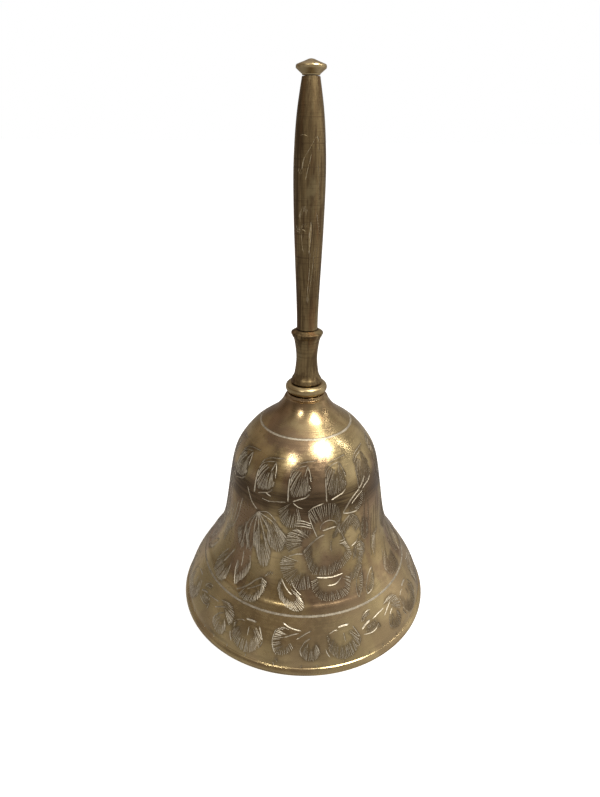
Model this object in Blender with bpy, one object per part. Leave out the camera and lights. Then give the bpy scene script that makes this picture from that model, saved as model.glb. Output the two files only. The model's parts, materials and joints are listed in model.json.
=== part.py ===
"""Engraved brass hand bell with a turned handle, a tie rod and a hanging clapper.

The bell stands on its rim at z = 0 and its axis is +Z. The handle's turned pieces are stacked on the
crown and clamped by one tie rod: the finial screws onto its top end, and a nut and a washer hold it
under the crown. Below the nut the rod is bent into an eye. A jump ring hangs in the eye, and the
clapper's stem hangs in the ring.
"""

import math

import bmesh
import bpy
from mathutils import Vector

MM = 0.001
FIT_GAP = 0.3  # between two touching pieces, all over

# ---- Driving dimensions, in millimetres ----
RIM_RADIUS = 55.0
RIM_FLAT = (52.9, 54.3)  # the ring that the bell stands on, inner and outer radius
LIP_TOP = 2.6
WALL = 2.2
# Stations of the outer wall, (radius, height), from the lip to the top of the crown.
WALL_STATIONS = [
    (54.25, 3.1), (50.7, 12.0), (44.75, 21.4), (39.2, 30.0), (35.6, 39.0), (33.5, 50.0),
    (31.1, 65.0), (28.5, 74.0), (22.8, 82.0), (18.5, 85.8), (13.0, 90.0), (9.7, 94.0), (8.6, 96.3),
]
GROOVE_HEIGHTS = [21.4, 85.8]  # the two lines cut round the wall, each at a station
GROOVE_HALF_WIDTH = 0.45
GROOVE_DEPTH = 0.35
COVE_RADIUS = 7.6  # the short spigot on top of the crown, under the bead
COVE_BASE = 96.8
COVE_TOP = 97.9
CEILING = 89.5  # the flat inside the crown that the washer is pulled up to
CEILING_EDGE = 1.2  # the chamfer round that flat

ROD_RADIUS = 2.0
ROD_BORE = ROD_RADIUS + FIT_GAP
ROD_TOP = 212.0

BEAD_RADIUS = 8.3
BEAD_ROUND = 2.0
BEAD_TOP = 102.2
FERRULE_TOP = 124.3
FINIAL_BASE = 209.6
FINIAL_RADIUS = 5.05
FINIAL_ROUND = 0.8
FINIAL_TOP = 214.3

WASHER_RADIUS = 7.5
WASHER_THICKNESS = 1.0
NUT_FLATS = 8.0
NUT_HEIGHT = 3.5
CHAMFER = 0.25

ROD_WIRE = 1.6  # radius of the wire where the rod is bent
ROD_EYE_RADIUS = 4.0
ROD_EYE_HEIGHT = 78.0
LINK_WIRE = 0.9
LINK_RADIUS = 4.6
STEM_WIRE = 1.4
STEM_BORE = STEM_WIRE + FIT_GAP
STEM_EYE_RADIUS = 3.4
BALL_HEIGHT = 17.0
BALL_RADIUS = 8.5
BALL_FLAT = 7.6  # how far the flat under the ball lies below its centre
BALL_NECK = (2.5, 3.2)  # the radius and the height of the neck on top of the ball
STEM_END = 5.8
STEM_NUT_RADIUS = 3.4
STEM_NUT_HEIGHT = 2.2

# ---- Where the hanging pieces meet ----
EYE_PIVOT = ROD_EYE_HEIGHT - ROD_EYE_RADIUS  # the ring swings about the eye's lowest wire
LINK_HEIGHT = EYE_PIVOT + ROD_WIRE + LINK_WIRE + FIT_GAP - LINK_RADIUS
LINK_PIVOT = LINK_HEIGHT - LINK_RADIUS  # the clapper rocks about the ring's lowest wire
STEM_EYE_HEIGHT = LINK_PIVOT + LINK_WIRE + STEM_WIRE + FIT_GAP - STEM_EYE_RADIUS

# ---- Fineness ----
WALL_SEGMENTS = 64
TURNED_SEGMENTS = 32
SMALL_SEGMENTS = 24
WIRE_SIDES = 2  # a curve's bevel resolution: 8 sides
LOOP_STEP = math.radians(18)


def material(name, colour, roughness):
    made = bpy.data.materials.new(name)
    made.use_nodes = True
    shader = made.node_tree.nodes["Principled BSDF"]
    shader.inputs["Base Color"].default_value = (*colour, 1.0)
    shader.inputs["Metallic"].default_value = 1.0
    shader.inputs["Roughness"].default_value = roughness
    return made


def spline(stations, steps):
    """A smooth curve through the stations: Catmull-Rom, with each span cut into that many steps."""
    points = [Vector(s) for s in stations]
    ends = [2 * points[0] - points[1], *points, 2 * points[-1] - points[-2]]
    curve = []
    for before, a, b, after in zip(ends, ends[1:], ends[2:], ends[3:]):
        for i in range(steps):
            t = i / steps
            curve.append(
                0.5 * (2 * a + (b - before) * t + (2 * before - 5 * a + 4 * b - after) * t**2
                       + (3 * a - before - 3 * b + after) * t**3)
            )
    return [*curve, points[-1]]


def arc(centre, radius, start, end, steps):
    """Points on an arc in the (radius, height) plane, angles in degrees from the outward direction."""
    turns = [math.radians(start + (end - start) * i / steps) for i in range(steps + 1)]
    return [Vector((centre[0] + radius * math.cos(a), centre[1] + radius * math.sin(a))) for a in turns]


def direction(curve, i):
    """The curve's direction at its point i."""
    return (curve[min(i + 1, len(curve) - 1)] - curve[max(i - 1, 0)]).normalized()


def inwards(along):
    """The direction square to one that runs upwards, towards the axis."""
    return Vector((-along.y, along.x))


def offset_inwards(curve, distance):
    """The curve, which runs upwards, moved inwards by that distance."""
    return [point + distance * inwards(direction(curve, i)) for i, point in enumerate(curve)]


def cut_grooves(curve):
    """The curve, which runs upwards, with a V cut into it at each groove's height."""
    cut = []
    for i, point in enumerate(curve):
        if min(abs(point.y - height) for height in GROOVE_HEIGHTS) < 0.01:
            along = direction(curve, i)
            cut.append(point - GROOVE_HALF_WIDTH * along)
            cut.append(point + GROOVE_DEPTH * inwards(along))
            cut.append(point + GROOVE_HALF_WIDTH * along)
        else:
            cut.append(point)
    return cut


def place(name, mesh, finish, pivot=None):
    """Puts the mesh into the scene. A hanging piece is parented to the empty on its joint."""
    made = bpy.data.objects.new(name, mesh)
    made.data.materials.append(finish)
    bpy.context.scene.collection.objects.link(made)
    if pivot is not None:
        made.parent = pivot
        made.matrix_parent_inverse = pivot.matrix_world.inverted()
    return made


def turned(name, outline, finish, segments=TURNED_SEGMENTS, pivot=None):
    """A piece turned on a lathe: the closed outline, in (radius, height), spun round the Z axis."""
    shape = bmesh.new()
    ring = [shape.verts.new((r * MM, 0.0, z * MM)) for r, z in outline]
    edges = [shape.edges.new((a, b)) for a, b in zip(ring, [*ring[1:], ring[0]])]
    bmesh.ops.spin(
        shape, geom=[*ring, *edges], cent=(0, 0, 0), axis=(0, 0, 1),
        angle=math.tau, steps=segments, use_merge=True,
    )
    bmesh.ops.remove_doubles(shape, verts=shape.verts, dist=1e-6)
    bmesh.ops.dissolve_degenerate(shape, edges=shape.edges, dist=1e-7)
    bmesh.ops.recalc_face_normals(shape, faces=shape.faces)
    mesh = bpy.data.meshes.new(name)
    shape.to_mesh(mesh)
    shape.free()
    mesh.shade_smooth()
    mesh.set_sharp_from_angle(angle=math.radians(35))
    return place(name, mesh, finish, pivot)


def bored(outline, low, high, bore=ROD_BORE):
    """Closes an outer outline that runs upwards from low to high with a bore down the middle."""
    return [*outline, (bore, high), (bore, low)]


def prism(name, sides, radius, height, middle, finish):
    """An upright prism on the axis, centred at that height."""
    shape = bmesh.new()
    bmesh.ops.create_cone(
        shape, cap_ends=True, segments=sides, radius1=radius * MM, radius2=radius * MM, depth=height * MM
    )
    mesh = bpy.data.meshes.new(name)
    shape.to_mesh(mesh)
    shape.free()
    made = place(name, mesh, finish)
    made.location.z = middle * MM
    return made


def wire(name, path, radii, finish, pivot=None):
    """A round wire along the path, in millimetres, with its radius at each point."""
    curve = bpy.data.curves.new(name, "CURVE")
    curve.dimensions = "3D"
    curve.bevel_depth = MM
    curve.bevel_resolution = WIRE_SIDES
    curve.use_fill_caps = True
    line = curve.splines.new("POLY")
    line.points.add(len(path) - 1)
    for point, (x, y, z), radius in zip(line.points, path, radii):
        point.co = (x * MM, y * MM, z * MM, 1.0)
        point.radius = radius
    line.use_smooth = True
    return place(name, curve, finish, pivot)


def bent_eye(height, radius, wire_radius, up):
    """The path of a wire's end bent into an eye in the YZ plane, from its shank round to its cut end.

    The shank joins the ring from above where up is 1, and from below where up is -1.
    """
    shoulder = math.asin(1.25 * wire_radius / radius)
    gap = math.asin((2 * wire_radius + FIT_GAP) / radius)
    last = math.tau - gap
    count = math.ceil((last - shoulder) / LOOP_STEP)
    path = []
    for i in range(count + 1):
        turn = shoulder + (last - shoulder) * i / count
        path.append((0.0, -radius * math.sin(turn), height + up * radius * math.cos(turn)))
    return path


def joint_empty(name, height):
    """Marks the axis that a hanging piece turns about."""
    empty = bpy.data.objects.new(name, None)
    empty.location = (0, 0, height * MM)
    bpy.context.scene.collection.objects.link(empty)
    bpy.context.view_layer.update()
    return empty


def bell_shell(finish):
    """The cast and turned bell: a flared wall with two cut lines, a crown with a cove, open below."""
    outer = cut_grooves(spline(WALL_STATIONS, 2))
    inner = [p for p in offset_inwards(spline(WALL_STATIONS, 1), WALL) if LIP_TOP < p.y < CEILING]
    lip = [(RIM_FLAT[1], 0.0), (RIM_RADIUS, 0.8), (RIM_RADIUS, 1.7), (RIM_RADIUS - 0.4, LIP_TOP)]
    spigot = [(COVE_RADIUS, COVE_BASE), (COVE_RADIUS, COVE_TOP)]
    crown_bore = [(ROD_BORE, COVE_TOP), (ROD_BORE, CEILING), (inner[-1].x - CEILING_EDGE, CEILING)]
    outline = [*lip, *outer, *spigot, *crown_bore, *reversed(inner), (RIM_FLAT[0], 0.0)]
    return turned("bell_shell", outline, finish, WALL_SEGMENTS)


def base_bead(finish):
    """The rounded ring between the crown and the ferrule."""
    low = COVE_TOP + FIT_GAP
    side = arc((BEAD_RADIUS - BEAD_ROUND, BEAD_TOP - BEAD_ROUND), BEAD_ROUND, -72, 90, 8)
    return turned("base_bead", bored([(side[0].x, low), *side], low, BEAD_TOP), finish)


def neck_ferrule(finish):
    """The waisted neck under the grip, with a chamfered collar at its top."""
    low = BEAD_TOP + FIT_GAP
    foot = [(6.0, low), (6.25, low + 0.35)]
    waist = spline([(5.8, 104.0), (4.8, 106.2), (4.2, 111.0), (4.2, 114.5), (4.75, 119.0), (5.3, 121.2)], 2)
    collar = [(5.6, 121.5), (6.2, 122.8), (6.1, 123.2), (4.4, FERRULE_TOP)]
    return turned("neck_ferrule", bored([*foot, *waist, *collar], low, FERRULE_TOP), finish)


def handle_grip(finish):
    """The long tapered grip, thickest a little over half way up."""
    low = FERRULE_TOP + FIT_GAP
    high = FINIAL_BASE - FIT_GAP
    taper = [(4.0, low), (4.05, 130.0), (4.45, 141.0), (5.2, 159.0)]
    swell = [(5.65, 178.0), (5.3, 190.0), (4.45, 200.0), (3.0, high)]
    return turned("handle_grip", bored(spline([*taper, *swell], 2), low, high), finish)


def finial(finish):
    """The button on top, a round nut with a blind hole for the tie rod."""
    neck = [(2.95, FINIAL_BASE), (2.95, FINIAL_BASE + 0.3)]
    edge = arc((FINIAL_RADIUS - FINIAL_ROUND, FINIAL_TOP - 2.3), FINIAL_ROUND, -50, 65, 4)
    cap = [(2.0, FINIAL_TOP - 0.6), (0.9, FINIAL_TOP - 0.15), (0.0, FINIAL_TOP)]
    hole_end = ROD_TOP + FIT_GAP
    hole = [(0.0, hole_end), (ROD_BORE, hole_end), (ROD_BORE, FINIAL_BASE)]
    return turned("finial", [*neck, *edge, *cap, *hole], finish)


def tie_rod(finish):
    """The rod through the handle, threaded at both ends and bent into an eye inside the bell."""
    chamfer = 0.4
    thread_end = ROD_EYE_HEIGHT + ROD_EYE_RADIUS + 1.0
    shank = {
        ROD_TOP: ROD_RADIUS - chamfer,
        ROD_TOP - chamfer: ROD_RADIUS,
        thread_end + chamfer: ROD_RADIUS,
        thread_end: ROD_WIRE,
    }
    eye = bent_eye(ROD_EYE_HEIGHT, ROD_EYE_RADIUS, ROD_WIRE, 1)
    path = [(0.0, 0.0, z) for z in shank] + eye
    return wire("tie_rod", path, [*shank.values(), *[ROD_WIRE] * len(eye)], finish)


def crown_washer(finish):
    """The flat washer under the crown."""
    top = CEILING - FIT_GAP
    low = top - WASHER_THICKNESS
    edge = [(WASHER_RADIUS - CHAMFER, low), (WASHER_RADIUS, low + CHAMFER), (WASHER_RADIUS, top)]
    return turned("crown_washer", bored(edge, low, top), finish)


def crown_nut(finish):
    """The hexagon nut: a hexagonal prism with a Boolean bore."""
    middle = CEILING - 2 * FIT_GAP - WASHER_THICKNESS - NUT_HEIGHT / 2
    corner = NUT_FLATS / 2 / math.cos(math.pi / 6)
    nut = prism("crown_nut", 6, corner, NUT_HEIGHT, middle, finish)
    bevel = nut.modifiers.new("edges", "BEVEL")
    bevel.width = CHAMFER * MM
    bevel.segments = 1
    cutter = prism("nut_bore", SMALL_SEGMENTS, ROD_BORE, 3 * NUT_HEIGHT, middle, finish)
    cutter.hide_render = True
    cutter.display_type = "WIRE"
    bore = nut.modifiers.new("bore", "BOOLEAN")
    bore.object = cutter
    bore.operation = "DIFFERENCE"
    return nut


def clapper_link(finish, pivot):
    """The jump ring in the XZ plane, cut at one side."""
    cut = math.asin(FIT_GAP / LINK_RADIUS)
    count = math.ceil(math.tau / LOOP_STEP)
    path = []
    for i in range(count + 1):
        turn = cut + (math.tau - 2 * cut) * i / count
        path.append((LINK_RADIUS * math.cos(turn), 0.0, LINK_HEIGHT + LINK_RADIUS * math.sin(turn)))
    return wire("clapper_link", path, [LINK_WIRE] * len(path), finish, pivot)


def clapper_stem(finish, pivot):
    """The stem, bent into an eye at its top and threaded into the ball below."""
    eye = bent_eye(STEM_EYE_HEIGHT, STEM_EYE_RADIUS, STEM_WIRE, -1)
    path = [(0.0, 0.0, STEM_END), (0.0, 0.0, STEM_EYE_HEIGHT - STEM_EYE_RADIUS - 1.0), *eye]
    return wire("clapper_stem", path, [STEM_WIRE] * len(path), finish, pivot)


def clapper_ball(finish, pivot):
    """The striker: a turned ball that runs up into a short neck."""
    flat = math.degrees(math.asin(BALL_FLAT / BALL_RADIUS))
    side = arc((0, BALL_HEIGHT), BALL_RADIUS, -flat, 68, 12)
    radius, height = BALL_NECK
    high = BALL_HEIGHT + BALL_RADIUS + height
    outline = bored([*side, (radius + 0.2, high - height + 1.0), (radius, high)], side[0].y, high, STEM_BORE)
    return turned("clapper_ball", outline, finish, TURNED_SEGMENTS, pivot)


def clapper_nut(finish, pivot):
    """The small round nut that locks the ball on the stem."""
    top = BALL_HEIGHT - BALL_FLAT - FIT_GAP
    low = top - STEM_NUT_HEIGHT
    edge = [(STEM_NUT_RADIUS - CHAMFER, low), (STEM_NUT_RADIUS, low + CHAMFER), (STEM_NUT_RADIUS, top)]
    return turned("clapper_nut", bored(edge, low, top, STEM_BORE), finish, SMALL_SEGMENTS, pivot)


def main():
    for old in list(bpy.data.objects):
        bpy.data.objects.remove(old)
    bright_brass = material("bright_brass", (0.52, 0.39, 0.20), 0.30)
    dark_brass = material("dark_brass", (0.33, 0.23, 0.12), 0.38)
    steel = material("steel", (0.46, 0.45, 0.43), 0.35)

    bell_shell(bright_brass)
    base_bead(bright_brass)
    neck_ferrule(dark_brass)
    handle_grip(dark_brass)
    finial(bright_brass)
    tie_rod(steel)
    crown_washer(bright_brass)
    crown_nut(steel)

    swing = joint_empty("swing_axis", EYE_PIVOT)
    clapper_link(steel, swing)
    rock = joint_empty("rock_axis", LINK_PIVOT)
    clapper_stem(steel, rock)
    clapper_ball(bright_brass, rock)
    clapper_nut(steel, rock)


main()
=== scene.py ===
"""The looks of the engraved brass hand bell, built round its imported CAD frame.

The wall of the bell and the side of the grip are turned surfaces with engraving cut into them. Each is
one mesh: a grid over (angle round, distance up the wall), with every stroke's outline and centre line
among its edges, and the centre line sunk into the metal. The other pieces are turned, bent or faceted
again from the CAD outlines, finer and with their edges broken.

Sizes are in millimetres, apart from those of the materials, the camera and the lights, which are in metres.
"""

import json
import math
import random
from bisect import bisect_left, bisect_right
from itertools import accumulate

import bmesh
import bpy
from mathutils import Matrix, Vector, kdtree
from mathutils.geometry import delaunay_2d_cdt

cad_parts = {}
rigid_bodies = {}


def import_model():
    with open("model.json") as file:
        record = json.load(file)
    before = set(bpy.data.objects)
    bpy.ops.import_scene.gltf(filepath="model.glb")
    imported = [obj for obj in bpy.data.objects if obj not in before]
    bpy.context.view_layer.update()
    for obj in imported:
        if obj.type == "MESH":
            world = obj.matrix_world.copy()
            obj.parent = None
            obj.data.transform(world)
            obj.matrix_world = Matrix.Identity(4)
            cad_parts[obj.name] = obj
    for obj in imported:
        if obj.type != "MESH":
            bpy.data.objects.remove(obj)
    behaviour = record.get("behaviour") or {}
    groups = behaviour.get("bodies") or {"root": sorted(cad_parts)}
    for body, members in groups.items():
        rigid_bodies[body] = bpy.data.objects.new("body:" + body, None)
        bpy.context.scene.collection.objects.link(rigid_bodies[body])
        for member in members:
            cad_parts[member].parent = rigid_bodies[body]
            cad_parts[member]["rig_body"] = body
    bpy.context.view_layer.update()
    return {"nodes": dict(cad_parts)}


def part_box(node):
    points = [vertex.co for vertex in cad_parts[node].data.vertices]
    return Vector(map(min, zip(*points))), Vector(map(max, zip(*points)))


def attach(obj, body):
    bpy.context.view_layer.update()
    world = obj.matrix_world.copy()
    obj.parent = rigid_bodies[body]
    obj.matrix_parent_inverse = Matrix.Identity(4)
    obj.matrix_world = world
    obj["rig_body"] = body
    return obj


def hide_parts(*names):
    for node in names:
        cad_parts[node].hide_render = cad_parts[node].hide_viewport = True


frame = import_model()
nodes = frame["nodes"]

MM = 0.001
CORNER = math.radians(28)  # an outline that turns by more than this has a corner there
EDGE = 0.15  # how far from a corner its rounding starts
SAME_SPOT = 200  # vertices that match to a millimetre divided by this are one point of an outline

# The bell's engraved wall: its ends as (radius, height), and its radius about half-way up.
WALL_FOOT, WALL_TOP = (54.25, 3.1), (8.6, 96.3)
BELL_RADIUS = 36.0
RIDGE_WIDTH, RIDGE_RISE, RIDGE_GAP = 4.6, 0.28, 0.4  # the low roll over the lower turned line
COVE_START, COVE_STEP, COVE_EASE = 0.1, 0.65, 3.0  # the step over the lip, from the foot up
COVE_TOP = COVE_START + COVE_STEP + COVE_EASE
COVE_DEPTH, COVE_GAP = 0.4, 0.12
GRIP_BORE, GRIP_RADIUS = 2.5, 5.0  # radii: between the grip's bore and its ends, and of its side

# How often each motif goes round the bell, and where its first one is.
FLOWERS_ROUND, FLOWER_ANGLE, FLOWER_UP = 3, 17.0, 48.0
LEAVES_ROUND, LEAF_ANGLE = 13, -3.0
PALMETTES_ROUND, PALMETTE_ANGLE, JOINT_ANGLE = 8, 19.0, -2.0

# Strokes.
CHISEL = 0.7  # how wide the short cuts are, as a part of what the motifs say
CUT_SHAPE = ((0.0, 0.5), (0.1, 1.0), (0.4, 0.85), (0.75, 0.55), (1.0, 0.15))  # its width along a short cut
SHORTEST_CUT = 0.3
FRINGE_STRETCH = 1.12  # how long a fringe's cuts are, as a part of what the motifs say
NEAREST_FOCUS, LAST_TO_FOCUS = 0.6, 0.92  # a fringe's cuts stay off its focus
HATCH_FADE = 0.3  # how much shorter a hatch is at its two ends
CURVE_STEPS = 12
LINE_PITCH = 0.8
LINE_ENDS = (0.35, 0.15)  # a line's width at its two ends, as a part of its full width
# How unevenly the hand cuts: ranges for widths and lengths, and spreads for turns and shifts.
LINE_WIDTHS, FRINGE_WIDTHS, HATCH_WIDTHS = (0.9, 1.1), (0.8, 1.15), (0.85, 1.15)
FRINGE_LENGTHS, HATCH_LENGTHS = (0.78, 1.15), (0.8, 1.15)
FRINGE_TURN, HATCH_TURN = 0.05, 3  # in radians and in degrees
FRINGE_SHIFT, HATCH_SHIFT = (0.09, 0.12), (0.08, 0.1)  # across and up
# The nicks round the lip: how far up they start and end, how far they lean, and the degrees between them.
NICK_UPS, NICK_LEAN, NICK_WIDTH, NICK_GAPS = (2.0, 0.5), 0.6, 0.5, (4.0, 16.0)
LAST_NICK = 356.0

# Meshes.
TURNED_COLUMNS = 96
SIDE_STEPS, INSIDE_STEPS = 4, 3  # how much finer than the CAD's outlines are, outside and inside
WELD = 0.002  # vertices this near are merged
GROUND, CUT, TURNED = 1, 2, 3  # the kinds of face on an engraved wall; 0 is the rest of the piece
FINE_ROW_GAP = 0.15
SAMPLE_GAP = 0.22  # between the samples along a stroke
CLEAR = 0.35  # how far the grid's points stay off a stroke
NORMAL_REACH = 0.12  # how far each way the wall's slope is taken over
RIM_CLEAR = 0.3  # a stroke nearer to an end of the wall is left out
SHALLOWEST, DEEPEST = 0.012, 0.2  # how far a stroke sinks the wall, if it does
CUT_DEPTH = 0.02  # a face sunk more than this is inside a cut
FACET_LIGHT = Vector((0.75, 0.65))  # across and up: the way a cut's facets face to get painted light; facets that face away get painted shade
# how sharply a cut's facets go from painted shade to painted light
FACET_CONTRAST = 1.6
FACET_LEAN = 0.32  # how far a centre line lies off its stroke's middle, so that the side with painted light is wider
LINE_LIT, LINE_SHADED, LINE_LIT_PART = 0.85, 0.2, 0.8  # a turned line gets painted light up to that part of its width, and painted shade beyond it
LINE_FOOT = 0.4  # it takes the light as the wall does that far below it
# Metal stays dark where strokes crowd: how near they count, and how many stroke samples make it darkest.
TARNISH_REACH, TARNISH_CROWD = 0.95, 20

# The rod, the jump ring, the stem and the nuts. A wire and its eye's middle line are given as radii.
ROD_WIRE, ROD_EYE = 1.6, 4.0
STEM_WIRE, STEM_EYE = 1.4, 3.4
ROD_EYE_STEPS, STEM_EYE_STEPS = 56, 48
ROD_BEND, STEM_BEND = 1.2, 1.4  # how far from its corner the curve into an eye starts
ROD_TOP_CHAMFER, ROD_CHAMFER, STEM_CHAMFER, LINK_CHAMFER = 0.4, 0.35, 0.3, 0.12  # at the bars' ends
EYE_GAP = 0.3  # between an eye's cut end and its shank
ROD_NECK, ROD_SHOULDER = 1.0, 0.5  # the rod's thin part over its eye, and how fast it thickens
ROD_PITCH, STEM_PITCH, THREAD_DEPTH = 0.7, 0.5, 0.24
THREAD_OVER_NUT = 5  # how far above the crown nut's foot the rod's thread ends
COURSE_GAP, ROD_FINE_POINTS = 0.12, 46  # between a course's points along a thread, and how many the rod has
BAR_SIDES = 24
LINK_STEPS = 96
LINK_SLIT, SLIT_ANGLE = math.radians(1.2), math.radians(160)  # half the slit's width, and where it is
CROWN_NUT_FLATS, CROWN_NUT_BORE, CLAPPER_NUT_BORE = 8.0, 2.3, 1.7
NUT_COLUMNS = 96
COUNTERSINK = 0.3
NUT_FACE, NUT_SLOPE = 0.96, math.radians(30)  # a nut's end face against its flats, and its chamfer

# The room in the reflections: (elevation in degrees, level, warmth), on the left and on the right.
LEFT_LEVELS = [
    (-90, 0.21, 0.12), (-14, 0.26, 0.12), (0, 0.19, 0.15), (10, 0.12, 0.3), (28, 0.18, 0.3),
    (48, 0.27, 0.2), (70, 0.46, 0.1), (90, 0.72, 0.08),
]
RIGHT_LEVELS = [
    (-90, 0.31, 0.12), (-25, 0.37, 0.12), (-8, 0.43, 0.12), (8, 0.54, 0.1), (20, 0.48, 0.1),
    (34, 0.42, 0.12), (55, 0.5, 0.1), (75, 0.8, 0.06),
]
CAMERA_SPOT = (0, -0.2118, 0.1947)
CAMERA_TURN, CAMERA_DIP, CAMERA_ROLL = 0.67, 25.31, 0.62  # in degrees
LIGHT_TARGET = Vector((0, 0, 0.08))
FLOOR_REACH = 8


# ---- Strokes on a wall ----


def curve_at(a, b, c, d, part):
    """The smooth curve through four values, at a part of the way from the second to the third."""
    return 0.5 * (
        2 * b + (c - a) * part + (2 * a - 5 * b + 4 * c - d) * part**2 + (3 * b - a - 3 * c + d) * part**3
    )


def clamped(value):
    return min(max(value, 0.0), 1.0)


def eased(part):
    return part * part * (3 - 2 * part)


class Wall:
    """A turned wall that strokes are cut into. A spot on it is (degrees round from the front, millimetres
    up along the wall). Its profile is a list of (radius, height), from the bottom up."""

    def __init__(self, profile, seed):
        self.profile = profile
        steps = (math.hypot(r1 - r0, z1 - z0) for (r0, z0), (r1, z1) in zip(profile, profile[1:]))
        self.ups = list(accumulate(steps, initial=0.0))
        self.length = self.ups[-1]
        self.random = random.Random(seed)
        self.strokes = []  # each a list of (spot, half width)

    def at(self, up):
        """The (radius, height) of the profile at that distance up."""
        up = min(max(up, 0.0), self.length)
        low = min(bisect_right(self.ups, up) - 1, len(self.ups) - 2)
        part = (up - self.ups[low]) / (self.ups[low + 1] - self.ups[low])
        (r0, z0), (r1, z1) = self.profile[low:low + 2]
        return r0 + (r1 - r0) * part, z0 + (z1 - z0) * part

    def span(self, a, b):
        """From spot a to spot b, in millimetres across and up."""
        radius = self.at((a[1] + b[1]) / 2)[0]
        return math.radians(b[0] - a[0]) * radius, b[1] - a[1]

    def step(self, spot, across, up):
        """The spot that far from the given one."""
        radius = self.at(spot[1] + up / 2)[0]
        return spot[0] + math.degrees(across / radius), spot[1] + up

    def shifted(self, spot, spread):
        """The spot, moved at random."""
        return self.step(spot, *(self.random.gauss(0, size) for size in spread))

    def course(self, spots, pitch):
        """Spots at that pitch along the smooth curve through the given ones."""
        before = tuple(2 * a - b for a, b in zip(spots[0], spots[1]))
        after = tuple(2 * a - b for a, b in zip(spots[-1], spots[-2]))
        ends = [before, *spots, after]
        fine = []
        for four in zip(ends, ends[1:], ends[2:], ends[3:]):
            for i in range(CURVE_STEPS):
                fine.append(tuple(curve_at(*each, i / CURVE_STEPS) for each in zip(*four)))
        fine.append(spots[-1])
        lengths = [math.hypot(*self.span(a, b)) for a, b in zip(fine, fine[1:])]
        total = sum(lengths)
        count = max(1, round(total / pitch))
        made, i, done = [fine[0]], 0, 0.0
        for k in range(1, count):
            target = total * k / count
            while done + lengths[i] < target:
                done += lengths[i]
                i += 1
            part = (target - done) / lengths[i]
            made.append(tuple(a + (b - a) * part for a, b in zip(fine[i], fine[i + 1])))
        made.append(fine[-1])
        return made

    def line(self, spots, width=0.42):
        """A drawn line: full width along its middle, and narrower at its two ends."""
        course = self.course(spots, LINE_PITCH)
        if len(course) < 3:
            course = self.course(spots, math.hypot(*self.span(spots[0], spots[-1])) / 2 + 1e-6)
        parts = [LINE_ENDS[0], *[1.0] * (len(course) - 2), LINE_ENDS[1]]
        self.strokes.append([
            (spot, width / 2 * part * self.random.uniform(*LINE_WIDTHS)) for spot, part in zip(course, parts)
        ])

    def wedge(self, start, end, width, bend=0.0):
        """One chisel cut, widest a little in from its start and tapering to its end."""
        across, up = self.span(start, end)
        length = math.hypot(across, up)
        if length < SHORTEST_CUT:
            return
        half = width * CHISEL / 2
        shape = []
        for part, wide in CUT_SHAPE:
            aside = bend * length * 4 * part * (1 - part)
            spot = self.step(start, across * part - up / length * aside, up * part + across / length * aside)
            shape.append((spot, half * wide))
        self.strokes.append(shape)

    def fringe(self, edge, focus, reach, pitch, width=0.44, bend=0.0):
        """Cuts of a length near the reach that start along an edge and run towards a focus."""
        for spot in self.course(edge, pitch):
            across, up = self.span(spot, focus)
            far = math.hypot(across, up)
            if far < NEAREST_FOCUS:
                continue
            length = FRINGE_STRETCH * reach * self.random.uniform(*FRINGE_LENGTHS)
            length = min(length, LAST_TO_FOCUS * far)
            turn = self.random.gauss(0, FRINGE_TURN)
            dx = (across * math.cos(turn) - up * math.sin(turn)) / far * length
            dy = (across * math.sin(turn) + up * math.cos(turn)) / far * length
            start = self.shifted(spot, FRINGE_SHIFT)
            end = self.step(start, dx, dy)
            self.wedge(start, end, width * self.random.uniform(*FRINGE_WIDTHS), bend)

    def hatch(self, edge, way, reach, pitch, width=0.42, bend=0.0):
        """Parallel cuts that start along an edge and run one way, in degrees from straight across."""
        course = self.course(edge, pitch)
        last = max(1, len(course) - 1)
        for i, spot in enumerate(course):
            from_middle = abs(2 * i / last - 1)
            length = reach * (1 - HATCH_FADE * from_middle**2) * self.random.uniform(*HATCH_LENGTHS)
            turn = math.radians(way + self.random.gauss(0, HATCH_TURN))
            start = self.shifted(spot, HATCH_SHIFT)
            end = self.step(start, math.cos(turn) * length, math.sin(turn) * length)
            self.wedge(start, end, width * self.random.uniform(*HATCH_WIDTHS), bend)


class Turned:
    """A wall seen from an angle: its spots are given in degrees from there, and millimetres up."""

    def __init__(self, wall, angle):
        self.wall = wall
        self.angle = angle

    def moved(self, spots):
        return [(angle + self.angle, up) for angle, up in spots]

    def line(self, spots, width=0.42):
        self.wall.line(self.moved(spots), width)

    def fringe(self, edge, focus, reach, pitch=0.85, **more):
        self.wall.fringe(self.moved(edge), self.moved([focus])[0], reach, pitch, **more)

    def hatch(self, edge, way, reach, pitch=0.85, **more):
        self.wall.hatch(self.moved(edge), way, reach, pitch, **more)


class Placed(Turned):
    """The same, but its spots are in millimetres, across and up from a middle on the wall."""

    def __init__(self, wall, angle, up):
        super().__init__(wall, angle)
        self.up = up

    def moved(self, spots):
        found = []
        for across, up in spots:
            height = self.up + up
            found.append((self.angle + math.degrees(across / self.wall.at(height)[0]), height))
        return found


# ---- Motifs ----


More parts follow.
